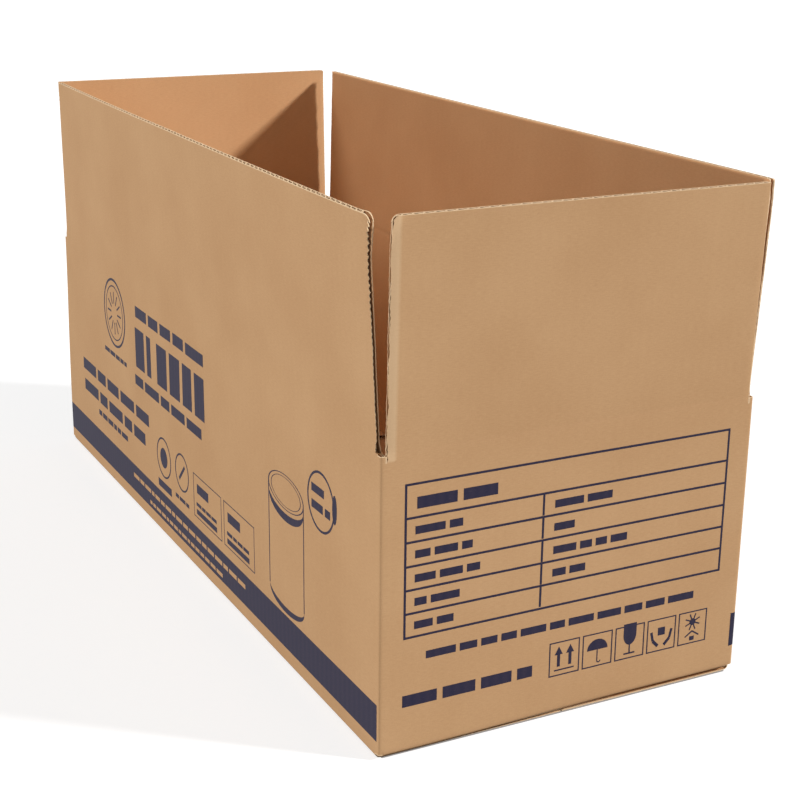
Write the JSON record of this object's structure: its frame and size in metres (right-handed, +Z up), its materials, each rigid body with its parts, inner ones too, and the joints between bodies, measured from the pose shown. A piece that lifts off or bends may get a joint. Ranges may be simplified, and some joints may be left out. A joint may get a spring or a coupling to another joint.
{
  "type": "bottle shipping box",
  "caption": "Open corrugated shipping box for round bottles or jars, with a folded bottom and hinged top flaps along every side.",
  "frame": {"origin": "middle of the underside of the closed bottom", "axes": "+X along the long side towards the end wall with the table, +Y across to the rear long side, +Z up"},
  "size_m": [0.7184, 0.303, 0.3615],
  "materials": {
    "corrugated_board": "matt kraft",
    "fluted_board": "matt kraft"
  },
  "bodies": {
    "case": {"case_body": "corrugated_board"},
    "front_long": {"front_long_flap": "fluted_board"},
    "rear_long": {"rear_long_flap": "fluted_board"},
    "near_end": {"near_end_flap": "fluted_board"},
    "far_end": {"far_end_flap": "fluted_board"}
  },
  "joints": [
    {"name": "front_long_crease", "type": "hinge", "parent": "case", "child": "front_long", "pos_m": [0, -0.144, 0.218], "axis": [-1, 0, 0], "range_deg": [-162, 90]},
    {"name": "rear_long_crease", "type": "hinge", "parent": "case", "child": "rear_long", "pos_m": [0, 0.144, 0.218], "axis": [1, 0, 0], "range_deg": [-162, 90]},
    {"name": "near_end_crease", "type": "hinge", "parent": "case", "child": "near_end", "pos_m": [0.354, 0, 0.2125], "axis": [0, -1, 0], "range_deg": [-163, 92]},
    {"name": "far_end_crease", "type": "hinge", "parent": "case", "child": "far_end", "pos_m": [-0.354, 0, 0.2125], "axis": [0, 1, 0], "range_deg": [-163, 92]}
  ]
}
